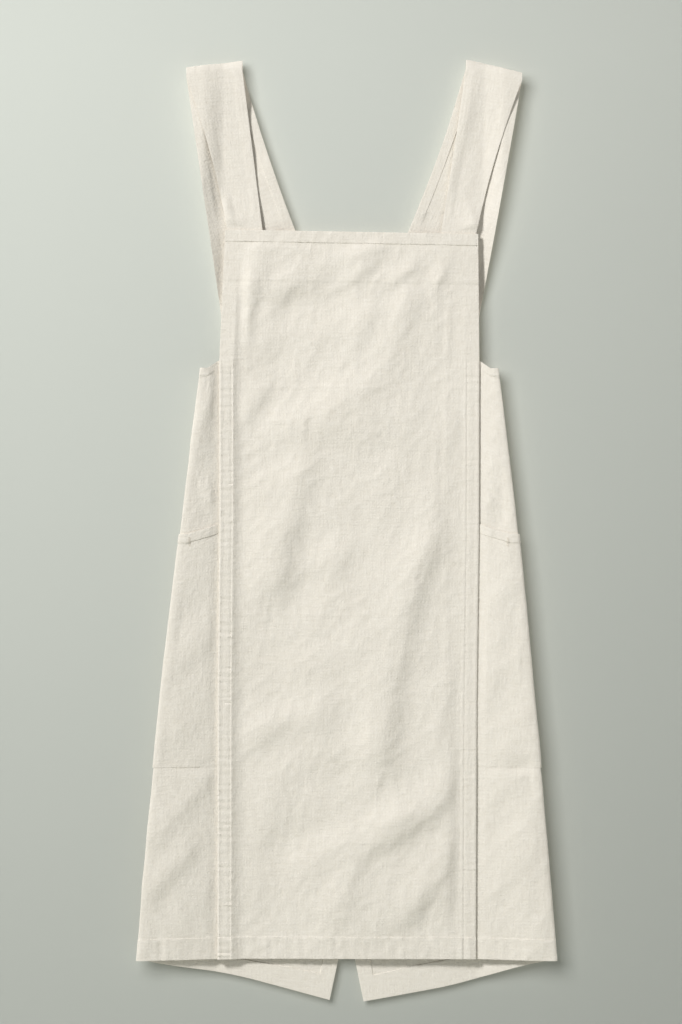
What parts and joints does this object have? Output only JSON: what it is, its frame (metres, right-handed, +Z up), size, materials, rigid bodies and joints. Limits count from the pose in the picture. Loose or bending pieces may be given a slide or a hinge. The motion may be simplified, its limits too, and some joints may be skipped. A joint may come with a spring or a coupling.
{
  "type": "crossover-back apron",
  "caption": "Pinafore apron in unbleached cotton canvas: square bib, A-line skirt, patch pockets and wide straps that cross over at the back, hanging by the straps.",
  "frame": {"origin": "on the straight line that both strap folds hang from, inside their tops, midway between the shoulders and midway between the front and back runs", "axes": "+Z up towards the shoulders, +Y towards the back of the garment, +X to the right as seen from the front"},
  "size_m": [0.463, 0.028, 1.0368],
  "materials": {
    "canvas_front_panel": "plain weave cotton canvas, unbleached cream, washed and softly creased",
    "canvas_bib_facing": "plain weave cotton canvas, unbleached cream, washed and softly creased",
    "canvas_side_gore_left": "plain weave cotton canvas, unbleached cream, washed and softly creased",
    "canvas_side_gore_right": "plain weave cotton canvas, unbleached cream, washed and softly creased",
    "canvas_pocket_left": "plain weave cotton canvas, unbleached cream, washed and softly creased",
    "canvas_pocket_right": "plain weave cotton canvas, unbleached cream, washed and softly creased",
    "bar_tack_thread": "matt cotton sewing thread, zigzag stitched",
    "canvas_back_panel_left": "plain weave cotton canvas, unbleached cream, washed and softly creased",
    "canvas_back_panel_right": "plain weave cotton canvas, unbleached cream, washed and softly creased",
    "canvas_shoulder_strap_left": "plain weave cotton canvas, unbleached cream, washed and softly creased",
    "canvas_shoulder_strap_right": "plain weave cotton canvas, unbleached cream, washed and softly creased"
  },
  "bodies": {
    "root": {"front_panel": "canvas_front_panel", "bib_facing": "canvas_bib_facing", "side_gore_left": "canvas_side_gore_left", "side_gore_right": "canvas_side_gore_right", "pocket_left": "canvas_pocket_left", "pocket_right": "canvas_pocket_right", "bar_tack_left": "bar_tack_thread", "bar_tack_right": "bar_tack_thread", "back_panel_left": "canvas_back_panel_left", "back_panel_right": "canvas_back_panel_right", "shoulder_strap_left": "canvas_shoulder_strap_left", "shoulder_strap_right": "canvas_shoulder_strap_right"}
  },
  "joints": []
}
